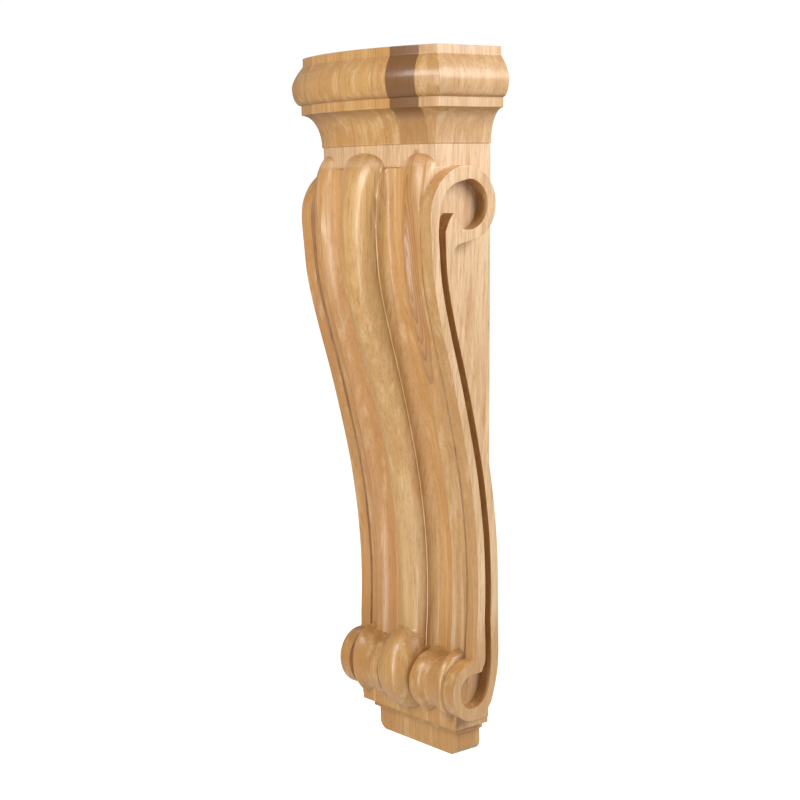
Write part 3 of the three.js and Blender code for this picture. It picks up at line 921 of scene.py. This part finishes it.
def grain(n, spot, shift):
    """Patterns of the grain, from broad to fine. It runs up the boards and leans and wanders a little."""
    offset = n.add("ShaderNodeCombineXYZ")
    for socket, step in zip(offset.inputs, GRAIN_SHIFT):
        n.feed(socket, n.math("MULTIPLY", shift, step))
    lean = n.add("ShaderNodeMapping")
    lean.inputs["Rotation"].default_value = [math.radians(degrees) for degrees in GRAIN_LEAN]
    n.feed(lean.inputs["Vector"], n.vector("ADD", spot.place, offset.outputs[0]))
    patterns = []
    for squeeze, *pattern in GRAIN.values():
        patterns.append(n.noise(n.vector("MULTIPLY", lean.outputs[0], (1.0, 1.0, squeeze)), *pattern))
    return patterns


def oval(n, spot, broad, figure, swirl):
    """Distance from the middle of a figure, 1 at its edge. The broad grain bends it."""
    centre_x, centre_z, half_width, half_length = figure
    side = n.math("DIVIDE", n.math("SUBTRACT", spot.x, centre_x), half_width)
    end = n.math("DIVIDE", n.math("SUBTRACT", spot.z, centre_z), half_length)
    side = n.math("POWER", n.math("ABSOLUTE", side), OVAL_POINT)
    reach = n.math("SQRT", n.math("ADD", side, n.math("MULTIPLY", end, end)))
    return n.math("ADD", reach, n.math("MULTIPLY", n.math("SUBTRACT", broad, 0.5), swirl))


def stain_and_painted_shade(n, spot):
    """Darker wood on slopes, on the cap and towards the foot: partly the finish soaking into grain cut
    across, and partly painted shade in the coves, under the steps and where the light falls off towards the
    foot.
    """
    stain = n.remap(spot.slope, *STAINED_SLOPES, 0.0, SLOPE_STAIN_AND_SHADE)
    stain = n.math("MAXIMUM", stain, n.remap(spot.z, NECK_TOP - 1, NECK_TOP + 2, 0.0, CAP_STAIN_AND_SHADE))
    # Painted shade: the wood is darker towards the foot, where the light falls off.
    stain = n.math("MAXIMUM", stain, n.remap(spot.z, *FOOT_FADE, 0.0, FOOT_PAINTED_SHADE))
    return n.math("MULTIPLY", stain, spot.in_sight)


def wood():
    """Satin hardwood: boards, grain, figures and stain, with painted light on the side panels and the neck
    and painted shade on slopes, the cap and the foot, laid over each other.
    """
    material = bpy.data.materials.new("satin hardwood")
    material.use_nodes = True
    material.node_tree.nodes.clear()
    n = Nodes(material.node_tree)
    spot = Spot(n)
    dark, red, shift, joints = boards(n, spot)
    broad, bands, streaks, flecks = grain(n, spot, shift)

    cathedral = oval(n, spot, broad, CATHEDRAL, CATHEDRAL_SWIRL)
    figured = n.remap(cathedral, 1.0, 1.3, n.math("MULTIPLY", spot.in_sight, 0.5), 0.0)
    lines = n.math("POWER", n.math("FRACT", n.math("MULTIPLY", cathedral, CATHEDRAL_LINES)), LINE_FINENESS)
    lines = n.math("MULTIPLY", lines, n.remap(cathedral, 1.05, 1.2, spot.in_sight, 0.0))
    leaf = n.remap(oval(n, spot, broad, PALE_LEAF, PALE_LEAF_SWIRL), 0.8, 1.0, spot.in_sight, 0.0)
    rings = n.math("POWER", n.math("FRACT", n.math("MULTIPLY", broad, RINGS)), RING_FINENESS)
    on_neck = n.math("MULTIPLY", spot.in_sight, n.within(spot.z, NECK_FOOT + 1, NECK_TOP, 1.0))
    # Paler, creamier wood on the side panels and on the neck's front is painted light, standing in for the
    # bright light these faces catch.
    flat = n.math("MAXIMUM", n.math("MULTIPLY", spot.on_side, 0.8), n.math("MULTIPLY", on_neck, 0.6))

    # Each tint is laid over the ones before it, as strongly as its pattern says.
    layers = (
        ("red board", n.math("MULTIPLY", red, 0.6)),
        # painted light on the side panels and the neck's front
        ("painted light on flat faces", flat),
        # painted shade, with some real stain, on slopes, the cap and the foot
        ("stain and painted shade", stain_and_painted_shade(n, spot)),
        ("broad grain", n.remap(broad, 0.40, 0.66, 0.0, 0.40)),
        ("brown band", n.remap(bands, 0.50, 0.70, 0.0, 0.45)),
        ("pale band", n.remap(bands, 0.47, 0.33, 0.0, 0.36)),
        ("pale leaf", n.math("MULTIPLY", leaf, 0.35)),
        ("streak", n.remap(streaks, 0.50, 0.70, 0.0, 0.50)),
        ("fleck", n.remap(flecks, 0.58, 0.74, 0.0, 0.50)),
        ("ring", n.math("MULTIPLY", rings, 0.14)),
        ("figure", figured),
        ("figure line", n.math("MULTIPLY", lines, 0.75)),
        ("cap board", n.math("MULTIPLY", dark_board(n, spot), 0.95)),
        ("glue joint", n.math("MULTIPLY", joints, 0.5)),
    )
    colour = n.blend(dark, TINTS["pale board"], TINTS["dark board"])
    for tint, strength in layers:
        colour = n.blend(strength, colour, TINTS[tint])

    bump = n.add("ShaderNodeBump")
    bump.inputs["Strength"].default_value = PORE_STRENGTH
    bump.inputs["Distance"].default_value = PORE_DEPTH
    n.feed(bump.inputs["Height"], n.math("ADD", streaks, n.math("MULTIPLY", flecks, FLECK_SHARE)))

    shader = n.add("ShaderNodeBsdfPrincipled")
    n.feed(shader.inputs["Base Color"], colour)
    n.feed(shader.inputs["Roughness"], n.remap(streaks, 0.3, 0.7, *ROUGHNESS))
    n.feed(shader.inputs["Normal"], bump.outputs[0])
    shader.inputs["Specular IOR Level"].default_value = SPECULAR
    shader.inputs["Coat Weight"].default_value = COAT
    shader.inputs["Coat Roughness"].default_value = COAT_ROUGHNESS
    out = n.add("ShaderNodeOutputMaterial")
    n.feed(out.inputs[0], shader.outputs[0])
    return material


def floor():
    """Floor below the corbel, white to the camera and a plain pale grey to the light."""
    bm = bmesh.new()
    bmesh.ops.create_grid(bm, x_segments=1, y_segments=1, size=FLOOR_HALF_SIZE)
    bmesh.ops.translate(bm, vec=(0, 0, FLOOR_LEVEL), verts=bm.verts)
    ground = to_object("floor", bm)
    paint = bpy.data.materials.new("pale floor")
    paint.use_nodes = True
    n = Nodes(paint.node_tree)
    shader = paint.node_tree.nodes["Principled BSDF"]
    shader.inputs["Base Color"].default_value = (FLOOR_GREY, FLOOR_GREY, FLOOR_GREY, 1)
    shader.inputs["Roughness"].default_value = FLOOR_ROUGHNESS
    shader.inputs["Emission Color"].default_value = (1, 1, 1, 1)
    seen = n.add("ShaderNodeLightPath").outputs["Is Camera Ray"]
    n.feed(shader.inputs["Emission Strength"], n.math("MULTIPLY", seen, FLOOR_GLOW))
    ground.data.materials.append(paint)


def area_light(name, azimuth, elevation, distance, size, power, colour):
    """A lamp that looks at the middle of the corbel."""
    data = bpy.data.lights.new(name, "AREA")
    data.shape = "RECTANGLE"
    data.size, data.size_y = size
    data.energy = power
    data.color = colour
    light = bpy.data.objects.new(name, data)
    a = math.radians(azimuth)
    e = math.radians(elevation)
    light.location = Vector((math.sin(a) * math.cos(e), -math.cos(a) * math.cos(e), math.sin(e))) * distance
    light.rotation_euler = (-light.location).to_track_quat("-Z", "Y").to_euler()
    bpy.context.collection.objects.link(light)


def studio():
    """White room, with a narrow strip in front for the highlights and softboxes above and to the side."""
    world = bpy.data.worlds.new("studio")
    bpy.context.scene.world = world
    world.use_nodes = True
    n = Nodes(world.node_tree)
    seen = n.add("ShaderNodeLightPath").outputs["Is Camera Ray"]
    background = world.node_tree.nodes["Background"]
    background.inputs["Color"].default_value = (1, 1, 1, 1)
    n.feed(background.inputs["Strength"], n.remap(seen, 0.0, 1.0, ROOM_LIGHT, ROOM_SEEN))
    for name, lamp in LAMPS.items():
        area_light(name, *lamp)
    bpy.context.scene.view_settings.view_transform = "Standard"


def camera():
    data = bpy.data.cameras.new("camera")
    data.sensor_width = SENSOR_WIDTH
    data.lens = CAMERA_LENS
    eye = bpy.data.objects.new("camera", data)
    bpy.context.collection.objects.link(eye)
    x, y, z = CAMERA_PLACE
    eye.location = Vector((x, y, z - HEIGHT / 2)) / 1000
    eye.rotation_euler = Vector(CAMERA_LOOK).normalized().to_track_quat("-Z", "Y").to_euler()
    eye.rotation_euler.rotate_axis("Z", math.radians(CAMERA_ROLL))
    bpy.context.scene.camera = eye


carving = carved_corbel()
carving.data.materials.append(wood())
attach(carving, "root")
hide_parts("carved_corbel")
floor()
studio()
camera()
